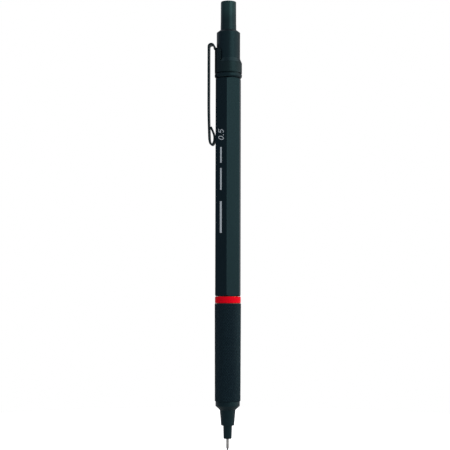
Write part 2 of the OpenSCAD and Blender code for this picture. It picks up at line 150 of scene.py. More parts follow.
def make_object(name, points, faces):
    """A mesh object from points in millimetres, with its faces turned outwards."""
    mesh = bpy.data.meshes.new(name)
    mesh.from_pydata([Vector(p) * MM for p in points], [], faces)
    work = bmesh.new()
    work.from_mesh(mesh)
    bmesh.ops.recalc_face_normals(work, faces=work.faces)
    work.to_mesh(mesh)
    work.free()
    thing = bpy.data.objects.new(name, mesh)
    bpy.context.scene.collection.objects.link(thing)
    return thing


def smooth(thing, angle=SHARP):
    """Smooth shading that keeps the edges sharper than an angle."""
    mesh = thing.data
    mesh.shade_smooth()
    mesh.set_sharp_from_angle(angle=angle)
    weighted = thing.modifiers.new("weighted", "WEIGHTED_NORMAL")
    weighted.keep_sharp = True


def with_modifiers_applied(thing):
    """The object again, with its modifiers turned into mesh."""
    graph = bpy.context.evaluated_depsgraph_get()
    mesh = bpy.data.meshes.new_from_object(thing.evaluated_get(graph))
    thing.modifiers.clear()
    thing.data = mesh
    return thing


def turned(name, corners, segments=SEGMENTS):
    """A turned solid from (radius, height, rounding) corners.

    An outline that starts and ends on the axis is closed there, and any other closes on itself.
    """
    outline = corner_curve(corners)
    points, rings = [], []
    for r, z in outline:
        if r == 0:
            rings.append([len(points)] * segments)
            points.append((0, 0, z))
            continue
        rings.append(list(range(len(points), len(points) + segments)))
        for k in range(segments):
            a = math.tau * k / segments
            points.append((r * math.cos(a), r * math.sin(a), z))
    pairs = list(zip(rings, rings[1:]))
    if outline[0][0] > 0:
        pairs.append((rings[-1], rings[0]))
    faces = []
    for lower, upper in pairs:
        for k in range(segments):
            n = (k + 1) % segments
            corner = [lower[k], lower[n], upper[n], upper[k]]
            faces.append(list(dict.fromkeys(corner)))
    thing = make_object(name, points, faces)
    smooth(thing)
    return thing


def loft(name, rings):
    """A closed skin through rings of points, and from the last ring back to the first."""
    count = len(rings[0])
    points = [p for ring in rings for p in ring]
    faces = []
    for i in range(len(rings)):
        j = (i + 1) % len(rings)
        for k in range(count):
            n = (k + 1) % count
            faces.append((i * count + k, i * count + n, j * count + n, j * count + k))
    return make_object(name, points, faces)


def cubic(p0, p1, p2, p3, steps=12):
    """Points on a cubic curve, without its first."""
    a, b, c, d = (np.array(p, float) for p in (p0, p1, p2, p3))
    points = []
    for k in range(1, steps + 1):
        t = k / steps
        s = 1 - t
        points.append(s * s * s * a + 3 * s * s * t * b + 3 * s * t * t * c + t * t * t * d)
    return points


# ---- Material helpers ----

def add(tree, kind, inputs=None, **settings):
    """A shader node with its settings, and with values or links on its inputs."""
    made = tree.nodes.new(kind)
    for key, value in settings.items():
        setattr(made, key, value)
    for key, value in (inputs or {}).items():
        if isinstance(value, bpy.types.NodeSocket):
            tree.links.new(value, made.inputs[key])
        else:
            made.inputs[key].default_value = value
    return made


def blank_material(name, **constants):
    """A material, its node tree and its Principled shader with the given constants set."""
    material = bpy.data.materials.new(name)
    material.use_nodes = True
    tree = material.node_tree
    shader = tree.nodes["Principled BSDF"]
    for key, value in constants.items():
        shader.inputs[key.replace("_", " ")].default_value = value
    return material, tree, shader


def place(tree, stretch=(1, 1, 1)):
    """Object coordinates in millimetres, stretched along each axis."""
    where = add(tree, "ShaderNodeTexCoord").outputs["Object"]
    scale = [s / MM for s in stretch]
    return add(tree, "ShaderNodeMapping", {"Vector": where, "Scale": scale}).outputs["Vector"]


def noise(tree, where, per_mm, detail=3.0, roughness=0.55):
    """Soft noise between 0 and 1, with about per_mm blotches to the millimetre."""
    return add(tree, "ShaderNodeTexNoise", {
        "Vector": where, "Scale": per_mm, "Detail": detail, "Roughness": roughness}).outputs["Fac"]


def spread(tree, value, low, high, start=0.3, end=0.7):
    """A value between start and end brought to the range from low to high."""
    return add(tree, "ShaderNodeMapRange", {
        "Value": value, "From Min": start, "From Max": end, "To Min": low, "To Max": high}).outputs["Result"]


def tint(tree, factor, dark, light):
    """A colour between two, by a factor."""
    mix = add(tree, "ShaderNodeMix", {"Factor": factor}, data_type="RGBA")
    mix.inputs[6].default_value = (*dark, 1)
    mix.inputs[7].default_value = (*light, 1)
    return mix.outputs[2]


def attribute(tree, name):
    """A value stored on the mesh, which is 0 on a mesh without it."""
    return add(tree, "ShaderNodeAttribute", attribute_name=name).outputs["Fac"]


def relief(tree, shader, height, depth_mm, strength=1.0):
    """Fine bumps from a height between 0 and 1."""
    bump = add(tree, "ShaderNodeBump", {
        "Height": height, "Distance": depth_mm * MM, "Strength": strength})
    tree.links.new(bump.outputs["Normal"], shader.inputs["Normal"])


def link(tree, value, shader, socket):
    """Feeds a value to a socket of the shader."""
    tree.links.new(value, shader.inputs[socket])


# ---- Materials ----

COOL = (0.45, 1.0, 1.04, 1)     # tint of the highlights on the black paint


def satin_black(name, dark, light, wear_and_highlight_colour, smoothest, roughest, shine):
    """Black lacquer over fine blasting, with a cool tint. Where the mesh's mask is set, it is shinier, and
    paler as a painted highlight.
    """
    polish = 0.08
    material, tree, shader = blank_material(name, Specular_IOR_Level=shine, Specular_Tint=COOL)
    where = place(tree)
    clouds = noise(tree, where, 0.12, detail=2)
    grain = noise(tree, where, 7, detail=3)
    wear_and_highlight = attribute(tree, "wear_and_highlight")
    fresh = tint(tree, spread(tree, clouds, 0, 1), dark, light)
    # Where the mask is set, the colour turns paler: a painted highlight, which on the barrel's corners
    # partly stands for wear.
    colour = add(tree, "ShaderNodeMix", {0: wear_and_highlight, 6: fresh}, data_type="RGBA")
    colour.inputs[7].default_value = (*wear_and_highlight_colour, 1)
    link(tree, colour.outputs[2], shader, "Base Color")
    rough = spread(tree, grain, smoothest, roughest)
    smoothed = spread(tree, wear_and_highlight, 0, polish, 0, 1)
    left = add(tree, "ShaderNodeMath", {0: rough, 1: smoothed}, operation="SUBTRACT").outputs[0]
    link(tree, left, shader, "Roughness")
    relief(tree, shader, grain, 0.010, 0.5)
    return material


def knurl_black():
    """Matt black on the knurl: polished on the crests, dusty in the grooves."""
    material, tree, shader = blank_material(
        "knurled_black", Specular_IOR_Level=0.30, Specular_Tint=COOL,
        Sheen_Weight=0.22, Sheen_Roughness=0.26, Sheen_Tint=(0.62, 0.95, 1.0, 1))
    crest = attribute(tree, "crest")
    where = place(tree)
    fine = noise(tree, where, 9)
    patches = spread(tree, noise(tree, where, 0.35, detail=2), 0.5, 1.0)
    handled = add(tree, "ShaderNodeMath", {0: crest, 1: patches}, operation="MULTIPLY").outputs[0]
    link(tree, tint(tree, handled, (0.0020, 0.0042, 0.0112), (0.0052, 0.0084, 0.0168)), shader, "Base Color")
    link(tree, spread(tree, crest, 0.60, 0.42, 0, 1), shader, "Roughness")
    relief(tree, shader, fine, 0.008, 0.5)
    return material


def accent_red():
    """Bright red satin enamel."""
    material, tree, shader = blank_material(
        "accent_enamel", Specular_IOR_Level=0.04, Specular_Tint=(1.0, 0.12, 0.16, 1))
    where = place(tree)
    clouds = noise(tree, where, 0.5, detail=2)
    link(tree, tint(tree, spread(tree, clouds, 0, 1), (0.88, 0.0030, 0.0135), (0.94, 0.0042, 0.0170)),
         shader, "Base Color")
    grain = noise(tree, where, 5)
    link(tree, spread(tree, grain, 0.36, 0.44), shader, "Roughness")
    relief(tree, shader, grain, 0.005, 0.4)
    return material


def clip_black():
    """Semi-gloss black on sheet steel, with the faint orange peel of baked paint."""
    material, tree, shader = blank_material("clip_paint", Specular_IOR_Level=0.32, Specular_Tint=COOL)
    where = place(tree)
    peel = noise(tree, where, 2.5, detail=2)
    fine = noise(tree, where, 10)
    link(tree, tint(tree, spread(tree, peel, 0, 1), (0.0042, 0.0066, 0.0086), (0.0060, 0.0090, 0.0115)),
         shader, "Base Color")
    link(tree, spread(tree, fine, 0.36, 0.44), shader, "Roughness")
    relief(tree, shader, peel, 0.010, 0.35)
    return material


def turned_metal(name, dark, light, rough, lines_per_mm=14):
    """Bare metal with the fine rings that a lathe leaves."""
    material, tree, shader = blank_material(name, Metallic=1.0)
    along = place(tree, (0.05, 0.05, 1))
    rings = noise(tree, along, lines_per_mm, detail=2)
    stain = noise(tree, place(tree), 0.6)
    link(tree, tint(tree, spread(tree, stain, 0, 1), dark, light), shader, "Base Color")
    link(tree, spread(tree, rings, rough - 0.06, rough + 0.06), shader, "Roughness")
    relief(tree, shader, rings, 0.006, 0.6)
    return material


def drawn_steel(name, dark, light, rough):
    """Bright drawn tube or wire: faint lines along it."""
    material, tree, shader = blank_material(name, Metallic=1.0)
    lines = noise(tree, place(tree, (1, 1, 0.03)), 22, detail=2)
    link(tree, tint(tree, spread(tree, lines, 0, 1), dark, light), shader, "Base Color")
    link(tree, spread(tree, lines, rough - 0.05, rough + 0.07), shader, "Roughness")
    relief(tree, shader, lines, 0.003, 0.5)
    return material


def moulded_plastic():
    """Translucent grey plastic of the lead tube, slightly waxy."""
    material, tree, shader = blank_material(
        "tube_plastic_moulded", Subsurface_Weight=0.2, Subsurface_Scale=0.002)
    flow = noise(tree, place(tree, (1, 1, 0.15)), 0.8)
    link(tree, tint(tree, spread(tree, flow, 0, 1), (0.52, 0.545, 0.565), (0.62, 0.64, 0.655)),
         shader, "Base Color")
    grain = noise(tree, place(tree), 6)
    link(tree, spread(tree, grain, 0.36, 0.46), shader, "Roughness")
    relief(tree, shader, grain, 0.004, 0.5)
    return material


def graphite():
    """Polymer-bonded graphite: dark, with a soft metallic sheen and tiny pits."""
    material, tree, shader = blank_material("graphite_lead", Metallic=0.35)
    grain = noise(tree, place(tree), 18, detail=4)
    link(tree, tint(tree, spread(tree, grain, 0, 1), (0.030, 0.031, 0.034), (0.075, 0.077, 0.082)),
         shader, "Base Color")
    link(tree, spread(tree, grain, 0.38, 0.55), shader, "Roughness")
    relief(tree, shader, grain, 0.010, 0.6)
    return material


def soft_matt(name, dark, light, rough, per_mm=5):
    """Rubber or vinyl: matt, with a soft sheen and a fine uneven skin."""
    material, tree, shader = blank_material(name, Sheen_Weight=0.15, Sheen_Roughness=0.5)
    skin = noise(tree, place(tree), per_mm, detail=4)
    link(tree, tint(tree, spread(tree, skin, 0, 1), dark, light), shader, "Base Color")
    link(tree, spread(tree, skin, rough - 0.05, rough + 0.05), shader, "Roughness")
    relief(tree, shader, skin, 0.015, 0.6)
    return material


def print_ink():
    """Pale grey ink, printed thin, so that it is uneven over the paint's grain."""
    material, tree, shader = blank_material("print_ink")
    where = place(tree)
    cover = noise(tree, where, 6, detail=4)
    link(tree, tint(tree, spread(tree, cover, 0, 1, 0.25, 0.6), (0.50, 0.56, 0.58), (0.74, 0.80, 0.82)),
         shader, "Base Color")
    link(tree, spread(tree, cover, 0.5, 0.65), shader, "Roughness")
    relief(tree, shader, cover, 0.003, 0.5)
    return material


MATERIALS = {
    # Each black's third colour is a painted highlight, laid where the mesh's mask is set; the button's pale
    # teal one brightens its upper part.
    "black_shell": satin_black(
        "shell_lacquer", (0.0032, 0.0061, 0.0104), (0.0043, 0.0078, 0.0127), (0.0050, 0.0090, 0.0138),
        0.35, 0.44, 0.32),
    "button_black": satin_black(
        "button_satin", (0.0050, 0.0095, 0.0120), (0.0070, 0.0125, 0.0160), (0.0150, 0.0340, 0.0340),
        0.32, 0.40, 0.36),
    "knurled_grip": knurl_black(),
    "accent_red": accent_red(),
    "clip_black": clip_black(),
    "brass": turned_metal("brass_turned", (0.60, 0.41, 0.15), (0.74, 0.54, 0.23), 0.27),
    "bright_steel": drawn_steel("steel_drawn", (0.36, 0.345, 0.325), (0.50, 0.485, 0.46), 0.30),
    "spring_steel": drawn_steel("spring_wire", (0.34, 0.35, 0.36), (0.50, 0.51, 0.52), 0.26),
    "tube_plastic": moulded_plastic(),
    "graphite": graphite(),
    "eraser_white": soft_matt("eraser_vinyl", (0.74, 0.74, 0.71), (0.86, 0.86, 0.83), 0.72),
    "brake_rubber": soft_matt("brake_rubber_skin", (0.014, 0.014, 0.014), (0.026, 0.026, 0.026), 0.7),
    "print_grey": print_ink(),
}


def dress_frame():
    """Gives each CAD node that stays the material of its slot."""
    for part in frame["record"]["subparts"]:
        mesh = frame["nodes"][part["node"]].data
        mesh.materials.clear()
        mesh.materials.append(MATERIALS[part["material_slot"]])


def fit(thing, slot, body=None, stands_for=()):
    """Gives a piece the material of a slot and its body, and hides the CAD nodes that it stands for."""
    thing.data.materials.clear()
    thing.data.materials.append(MATERIALS[slot])
    if body:
        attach(thing, body)
    if stands_for:
        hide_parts(*stands_for)
    return thing


# ---- Nose ----

def nozzle_shell():
    """Stepped tip with a rolled mouth, and the spigot that holds it in the nose cone."""
    mouth_r, root_r, spigot_r = 1.31, 1.44, radius("nozzle")
    bore, slider_bore, slider_z = 0.49, 0.95, 3.8
    top = CONE_Z - SEAM
    thing = turned("nozzle_shell", [
        (bore, NOZZLE_Z, 0.10),
        (mouth_r, NOZZLE_Z, 0.28),
        (root_r, top, 0.02),
        (spigot_r, top, 0),
        (spigot_r, SPIGOT_TOP, SOFT_EDGE),
        (slider_bore, SPIGOT_TOP, 0),
        (slider_bore, slider_z, 0),
        (bore, slider_z, 0),
    ])
    fit(thing, "black_shell", "housing", ["nozzle"])


def nose_shell():
    """Slim cone, sloping shoulder and round flange, with a threaded neck inside the grip."""
    tip_r, root_r, shoulder_z, flange_z = 2.10, 2.55, 12.2, 13.55
    spigot_bore, chamber_r, core_bore, neck_r = 1.54, 1.75, 2.55, 3.05
    flange_top, seat_z = GRIP_Z - SEAM, GRIP_Z + 0.1
    thing = turned("nose_shell", [
        (spigot_bore, CONE_Z, 0),
        (tip_r, CONE_Z, 0.16),
        (root_r, shoulder_z, 0.10),
        (FLANGE_R, flange_z, 0.12),
        (FLANGE_R, flange_top, 0.10),
        (neck_r, flange_top, 0),
        (neck_r, NECK_TOP, SOFT_EDGE),
        (core_bore, NECK_TOP, 0),
        (core_bore, seat_z, 0),
        (chamber_r, seat_z, 0),
        (chamber_r, SPIGOT_TOP, 0),
        (spigot_bore, SPIGOT_TOP, 0),
    ])
    fit(thing, "black_shell", "housing", ["nose_cone"])


def sleeve_tube():
    """Drawn steel tube with a rounded mouth, and a tapered end inside the slider."""
    r, bore, taper = radius("lead_sleeve"), 0.31, 0.04
    top = heights("lead_sleeve")[1]
    thing = turned("sleeve_tube", [
        (bore, 0, 0.03),
        (r, 0, 0.06),
        (r, NOZZLE_Z - SEAM, 0),
        (r - taper, top, 0.02),
        (bore, top, 0),
    ], 64)
    fit(thing, "bright_steel", "sleeve", ["lead_sleeve"])


def lead_stick():
    """The lead, worn to a blunt slope at its writing end."""
    low, top = heights("lead")
    r = radius("lead")
    worn_len, slope = 0.3, 0.35
    thing = turned("lead_stick", [
        (0, low, 0),
        (r * 0.72, low, 0.05),
        (r, low + 0.16, 0.05),
        (r, top, 0.02),
        (0, top, 0),
    ], 48)
    for vertex in thing.data.vertices:
        wear = 1 - (vertex.co.z / MM - low) / worn_len
        if wear > 0:
            vertex.co.z += wear * slope * (vertex.co.x + r * MM)
    fit(thing, "graphite", "lead", ["lead"])


# ---- Grip ----

def knurl_crest(u, v):
    """How high the knurl stands, from 0 in a groove to 1 on a diamond's flat top."""
    rising, falling = (u + v) % 1, (u - v) % 1
    from_groove = np.minimum(np.minimum(rising, 1 - rising), np.minimum(falling, 1 - falling))
    return np.minimum(1, 3 * from_groove)


def grip_sleeve():
    """The knurled sleeve: truncated diamonds, cut into a slightly tapered cylinder."""
    diamonds, rows, substeps = 48, 33, 6
    depth, lip, front_r = 0.12, 0.05, GRIP_R - 0.12
    columns, levels = diamonds * substeps, rows * substeps
    column, level = np.meshgrid(np.arange(columns), np.arange(levels + 1))
    crest = knurl_crest(column / substeps, level / substeps)
    share = level / levels
    from_end = np.minimum(share, 1 - share) * (GRIP_TOP - GRIP_Z)
    full = front_r + (GRIP_R - front_r) * share
    r = np.minimum(full - depth * (1 - crest), full - depth - lip + from_end)
    angle = math.tau * column / columns
    z = GRIP_Z + share * (GRIP_TOP - GRIP_Z)
    points = np.stack([r * np.cos(angle), r * np.sin(angle), z], -1).reshape(-1, 3).tolist()
    for height in (GRIP_TOP, GRIP_Z):
        for a in angle[0]:
            points.append((CORE_FIT * math.cos(a), CORE_FIT * math.sin(a), height))
    faces = []
    for i in range(levels + 3):
        above = (i + 1) % (levels + 3)
        for k in range(columns):
            n = (k + 1) % columns
            a, b = i * columns + k, i * columns + n
            c, d = above * columns + n, above * columns + k
            up, down = ((k + i + 1) / substeps) % 1, ((k - i) / substeps) % 1
            if i >= levels:
                faces.append((a, b, c, d))
            elif min(up, 1 - up) < min(down, 1 - down):
                faces += [(a, b, d), (b, c, d)]
            else:
                faces += [(a, b, c), (a, c, d)]
    thing = make_object("grip_sleeve", points, faces)
    layer = thing.data.attributes.new("crest", "FLOAT", "POINT")
    layer.data.foreach_set("value", np.append(crest.ravel(), np.zeros(2 * columns)).astype(np.float32))
    thing.data.shade_smooth()
    thing.data.set_sharp_from_angle(angle=math.radians(55))
    fit(thing, "knurled_grip", "housing", ["grip"])


def accent_band():
    """Red ring with a wider bevel towards the barrel."""
    r = radius("accent_ring")
    thing = turned("accent_band", [
        (CORE_FIT, RING_Z, 0),
        (r - 0.12, RING_Z, 0.03),
        (r, RING_Z + 0.22, 0.10),
        (r, RING_TOP - 0.36, 0.12),
        (r - 0.13, RING_TOP, 0.04),
        (CORE_FIT, RING_TOP, 0),
    ])
    fit(thing, "accent_red", "housing", ["accent_ring"])


# ---- Barrel ----

CORNER_ROUNDING = (FLAT_R / math.cos(math.pi / 6) - CORNER_R) / (1 / math.cos(math.pi / 6) - 1)
HALF_FLAT = (FLAT_R - CORNER_ROUNDING) * math.tan(math.pi / 6)


def flat_height(across):
    """Distance of a flat's surface from the axis, at a distance from the flat's middle line."""
    return FLAT_R + CROWN * (1 - (across / HALF_FLAT) ** 2)


def hexagon_section(along_flat=20, along_corner=8):
    """Points round the barrel, with rounded corners, and how near each one is to a corner."""
    section = []
    for side in range(6):
        face = math.tau * side / 6
        out = Vector((math.cos(face), math.sin(face)))
        across = Vector((-math.sin(face), math.cos(face)))
        for k in range(along_flat):
            s = HALF_FLAT * (2 * k / along_flat - 1)
            section.append((out * flat_height(s) + across * s, abs(s) / HALF_FLAT))
        centre = out * (FLAT_R - CORNER_ROUNDING) + across * HALF_FLAT
        for k in range(along_corner):
            a = face + math.tau / 6 * k / along_corner
            section.append((centre + CORNER_ROUNDING * Vector((math.cos(a), math.sin(a))), 1.0))
    return section


def barrel_shell():
    """Hexagonal tube. Each end is turned to a shallow cone, which scallops the flats' ends."""
    end_r, facing, end_steps, middle_steps, wear_and_highlight_from = 3.84, 0.42, 10, 12, 0.8
    section = hexagon_section()
    slope = (CORNER_R + 0.02 - end_r) / facing
    cone = [facing * k / end_steps for k in range(end_steps + 1)]
    straight = BARREL_TOP - BARREL_Z - 2 * facing
    levels = [BARREL_Z + step for step in cone]
    levels += [BARREL_Z + facing + straight * k / middle_steps for k in range(1, middle_steps)]
    levels += [BARREL_TOP - step for step in reversed(cone)]
    rings = []
    for z in levels:
        limit = end_r + slope * min(z - BARREL_Z, BARREL_TOP - z)
        rings.append([(*(p * min(1, limit / p.length)), z) for p, _ in section])
    for z in (BARREL_TOP, BARREL_Z):
        rings.append([(*(p.normalized() * BARREL_BORE), z) for p, _ in section])
    thing = loft("barrel_shell", rings)
    # Towards each corner the mask rises: shinier, partly for wear, and paler as a painted highlight along
    # the corners.
    near = [max(0.0, (share - wear_and_highlight_from) / (1 - wear_and_highlight_from)) for _, share in section]
    layer = thing.data.attributes.new("wear_and_highlight", "FLOAT", "POINT")
    layer.data.foreach_set("value", near * len(rings))
    smooth(thing, math.radians(25))
    fit(thing, "black_shell", "housing", ["barrel"])


def end_collar():
    """Round ring that ends the barrel, bevelled towards it."""
    bore = BARREL_BORE + 0.02
    thing = turned("end_collar", [
        (bore, END_Z, 0),
        (BAND_R - 0.30, END_Z, 0.06),
        (BAND_R, END_Z + 0.42, 0.14),
        (BAND_R, END_TOP, 0.10),
        (bore, END_TOP, 0),
    ])
    fit(thing, "black_shell", "housing", ["end_ring"])


# ---- Tail ----

def collar_shell():
    """Cone and round collar, with the threaded shank that goes down into the barrel."""
    bore, shank_r, collar_r = 2.64, 3.20, 3.83
    seat_r, cone_r = SHEET_R - SHEET / 2 - SEAM, BAND_R - 0.06
    cone_z, neck_z, rim_z = BAND_TOP + SEAM, BAND_TOP + 1.45, MOUTH_Z - 0.83
    thing = turned("collar_shell", [
        (bore, COLLAR_LOW, 0),
        (shank_r, COLLAR_LOW, SOFT_EDGE),
        (shank_r, END_TOP + 0.1, 0),
        (seat_r, END_TOP + 0.1, 0),
        (seat_r, cone_z, 0),
        (cone_r, cone_z, 0.06),
        (collar_r, neck_z, 0.35),
        (collar_r, rim_z, 0.12),
        (bore + 0.1, MOUTH_Z, 0.06),
        (bore, MOUTH_Z, 0),
    ])
    cut_saddle_gap(thing, seat_r, cone_z, neck_z)
    fit(thing, "black_shell", "housing", ["tail_collar"])


def cut_saddle_gap(collar, seat_r, cone_z, neck_z):
    """Takes the cone down to the seat where the clip's saddle stands."""
    half_w, out = 3.6 + SEAM, BAND_R + 1
    keep = turned("seat_keep", [
        (0, cone_z - 1, 0), (seat_r, cone_z - 1, 0), (seat_r, neck_z + 1, 0), (0, neck_z + 1, 0)])
    block = [[(x, y, z) for x, y in ((-out, -half_w), (0, -half_w), (0, half_w), (-out, half_w))]
             for z in (cone_z - 0.5, neck_z + 0.5)]
    ends = [(0, 1, 2, 3), (4, 5, 6, 7)]
    sides = [(k, (k + 1) % 4, 4 + (k + 1) % 4, 4 + k) for k in range(4)]
    cutter = make_object("seat_cutter", block[0] + block[1], ends + sides)
    for thing, tool in ((cutter, keep), (collar, cutter)):
        cut = thing.modifiers.new("cut", "BOOLEAN")
        cut.operation = "DIFFERENCE"
        cut.object = tool
        cut.solver = "EXACT"
        with_modifiers_applied(thing)
    for tool in (keep, cutter):
        bpy.data.objects.remove(tool)
    smooth(collar)


def button_cap():
    """Long plain push button with a slightly wider bead, hollow over the ferrule and eraser.

    Its upper part is shinier, and paler towards the top as a painted highlight.
    """
    r, bead_r = 2.54, radius("push_button")
    socket_r, eraser_room, ferrule_top, roof = 1.95, 1.73, 140.53, 0.9
    rim_z, draft, side_steps = BUTTON_TOP - 0.4, 0.02, 6
    bead_z, bead_top = MOUTH_Z + 0.035, MOUTH_Z + 1.7
    wear_and_highlight_from, wear_and_highlight_over = MOUTH_Z + 3.2, 3.2
    side = [(r - draft * k / side_steps, bead_top + (rim_z - bead_top) * k / side_steps, 0)
            for k in range(1, side_steps + 1)]
    thing = turned("button_cap", [
        (0, BUTTON_TOP - roof, 0),
        (eraser_room, BUTTON_TOP - roof, 0),
        (eraser_room, ferrule_top, 0),
        (socket_r, ferrule_top, 0),
        (socket_r, BUTTON_LOW, 0.04),
        (r, BUTTON_LOW, 0.06),
        (r, MOUTH_Z, 0),
        (bead_r, bead_z, 0.02),
        (bead_r, bead_top - 0.04, 0.03),
        (r, bead_top, 0),
        *side,
        (r - 0.06, BUTTON_TOP, 0.30),
        (0, BUTTON_TOP, 0),
    ])
    height = [vertex.co.z / MM for vertex in thing.data.vertices]
    # The mask rises up the button: shinier, and paler towards the top as a painted highlight.
    wear_and_highlight = [min(1.0, max(0.0, (z - wear_and_highlight_from) / wear_and_highlight_over)) for z in height]
    layer = thing.data.attributes.new("wear_and_highlight", "FLOAT", "POINT")
    layer.data.foreach_set("value", wear_and_highlight)
    fit(thing, "button_black", "button", ["push_button"])


def ferrule_shell():
    """Brass sleeve round the eraser, pressed on the lead tube, with two rolled grooves."""
    low, top = heights("eraser_ferrule")
    r, seat_z = radius("eraser_ferrule"), top - 2.3
    corners = [(1.77, low, 0), (r, low, 0.10)]
    for z in (low + 1.2, low + 2.0):
        corners += [(r, z - 0.18, 0.05), (r - 0.10, z, 0.10), (r, z + 0.18, 0.05)]
    corners += [(r, top, 0.10), (1.50, top, 0.05), (1.50, seat_z, 0), (1.77, seat_z, 0)]
    fit(turned("ferrule_shell", corners, 96), "brass", "push_rod", ["eraser_ferrule"])


def eraser_plug():
    """White eraser, rounded at its top by use."""
    low, top = heights("eraser")
    r = radius("eraser")
    thing = turned("eraser_plug", [(0, low, 0), (r, low, 0.08), (r, top, 0.42), (0, top, 0)], 96)
    fit(thing, "eraser_white", "eraser", ["eraser"])


# ---- Springs ----

def coil(name, turns, r, wire, low, high, sides=16, steps=32):
    """A round-wire compression spring, its end turns closed and ground flat."""
    pitch = 1.15 * wire
    length = high - low
    rise = (length - wire - 2 * pitch) / (turns - 2)

    def height(t):
        if t < 1:
            return wire / 2 + pitch * t
        if t > turns - 1:
            return length - wire / 2 - pitch * (turns - t)
        return wire / 2 + pitch + rise * (t - 1)

    points, faces = [], []
    count = turns * steps
    for i in range(count + 1):
        t = i / steps
        out = Vector((math.cos(math.tau * t), math.sin(math.tau * t), 0))
        for k in range(sides):
            b = math.tau * k / sides
            z = height(t) + wire / 2 * math.sin(b)
            p = out * (r + wire / 2 * math.cos(b)) + Vector((0, 0, low + min(max(z, 0), length)))
            points.append(tuple(p))
    for i in range(count):
        for k in range(sides):
            n = (k + 1) % sides
            faces.append((i * sides + k, i * sides + n, (i + 1) * sides + n, (i + 1) * sides + k))
    faces.append(tuple(range(sides)))
    faces.append(tuple(count * sides + k for k in reversed(range(sides))))
    thing = make_object(name, points, faces)
    smooth(thing, math.radians(50))
    return thing


def add_spring(node, turns, r, wire, body):
    """A coil spring in a CAD spring's place."""
    low, high = heights(node)
    thing = coil(node.replace("_spring", "_coil"), turns, r, wire, low, high)
    fit(thing, "spring_steel", body, [node])
    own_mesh(thing)


def springs():
    """The main spring rides the cartridge, and the cushion spring the housing."""
    add_spring("main_spring", 13, 1.58, 0.34, "cartridge")
    add_spring("cushion_spring", 7, 2.2, 0.40, "housing")


# ---- Clip ----

STRIP_HALF = 1.75       # half the width of the clip's strip at its root
END_HALF = 1.50         # and at its folded end
SADDLE_HALF = 4.32      # half the width of the saddle, measured round the ring
SHOULDER = 0.9          # rounding of the saddle's top corners
FILLET = 0.45           # where the strip leaves the saddle


def clip_path():
    """Middle line of the strip, as (out, up) points: over the bend, down the leg, round the fold."""
    bend_r, bend_steps, leg_steps = 0.9, 20, 12
    out = CLIP_REACH
    bend_x, bend_z = out - bend_r, CLIP_TOP - SHEET / 2 - bend_r
    low = CLIP_LOW + SHEET / 2
    leg_low = low + 14
    belly, belly_z = 4.44, low + 2.04
    line = [np.array((SHEET_R, SADDLE_TOP - 1))]
    line += cubic(line[0], (SHEET_R, SADDLE_TOP - 0.6), (bend_x - bend_r, bend_z - 0.8),
                  (bend_x - bend_r, bend_z), 8)
    for k in range(1, bend_steps + 1):
        a = math.pi * (1 - k / bend_steps)
        line.append(np.array((bend_x + bend_r * math.cos(a), bend_z + bend_r * math.sin(a))))
    for k in range(1, leg_steps + 1):
        line.append(np.array((out, bend_z + (leg_low - bend_z) * k / leg_steps)))
    stations = [
        ((out, leg_low), (out, low + 9), (out - 0.16, low + 5.1), (out - 0.28, low + 1.94)),
        ((out - 0.28, low + 1.94), (out - 0.4, low + 0.64), (out - 0.65, low), (out - 1.15, low)),
        ((out - 1.15, low), (out - 1.65, low), (belly, low + 0.94), (belly, belly_z)),
        ((belly, belly_z), (belly, belly_z + 1.4), (out - 1.2, belly_z + 2.5),
         (out - 0.17 - SHEET, belly_z + 3.8)),
    ]
    for station in stations:
        line += cubic(*station)
    return line


class Sheet:
    """A skin built up from rows of points."""

    def __init__(self):
        self.points = []
        self.faces = []

    def row(self, points):
        """Adds a row of points and gives their numbers."""
        first = len(self.points)
        self.points += [tuple(p) for p in points]
        return list(range(first, len(self.points)))

    def join(self, low_row, high_row):
        """Adds the faces between two rows."""
        self.faces += list(zip(low_row, low_row[1:], high_row[1:], high_row))


def on_ring(s, z):
    """A point on the ring's middle surface, s round from the clip's side."""
    return -SHEET_R * math.cos(s / SHEET_R), SHEET_R * math.sin(s / SHEET_R), z


def saddle_columns(z, shares, steps=10):
    """Distances round the ring of the saddle's and the strip's columns at height z."""
    drop = min(max((SADDLE_TOP - z) / 1.2, 0), 1)
    inner = STRIP_HALF + FILLET * (1 - drop) ** 2
    into = max(0.0, z - (SADDLE_TOP - SHOULDER))
    outer = SADDLE_HALF - SHOULDER + math.sqrt(max(0.0, SHOULDER ** 2 - into ** 2))
    side = [inner + (outer - inner) * k / steps for k in range(1, steps + 1)]
    return [-s for s in reversed(side)] + [inner * t for t in shares] + side


def add_ring_and_saddle(sheet, shares):
    """Adds the ring round the collar and the saddle above it, and gives the row where the strip starts."""
    ring_steps, back = 56, math.tau * SHEET_R - 2 * SADDLE_HALF
    band = [BAND_Z + (BAND_TOP - BAND_Z) * k / 6 for k in range(7)]
    corner_z = SADDLE_TOP - SHOULDER
    rise = [BAND_TOP + (corner_z - BAND_TOP) * k / 6 for k in range(1, 7)]
    rise += [corner_z + SHOULDER * math.sin(math.pi / 2 * k / 8) for k in range(1, 9)]
    front = [sheet.row(on_ring(s, z) for s in saddle_columns(z, shares)) for z in band + rise]
    behind = []
    for z, row in zip(band, front):
        round_back = sheet.row(on_ring(SADDLE_HALF + back * k / ring_steps, z) for k in range(1, ring_steps))
        behind.append([row[-1]] + round_back + [row[0]])
    for rows in (front, behind):
        for low_row, high_row in zip(rows, rows[1:]):
            sheet.join(low_row, high_row)
    spare = (len(front[-1]) - len(shares)) // 2
    return front[-1][spare:spare + len(shares)]


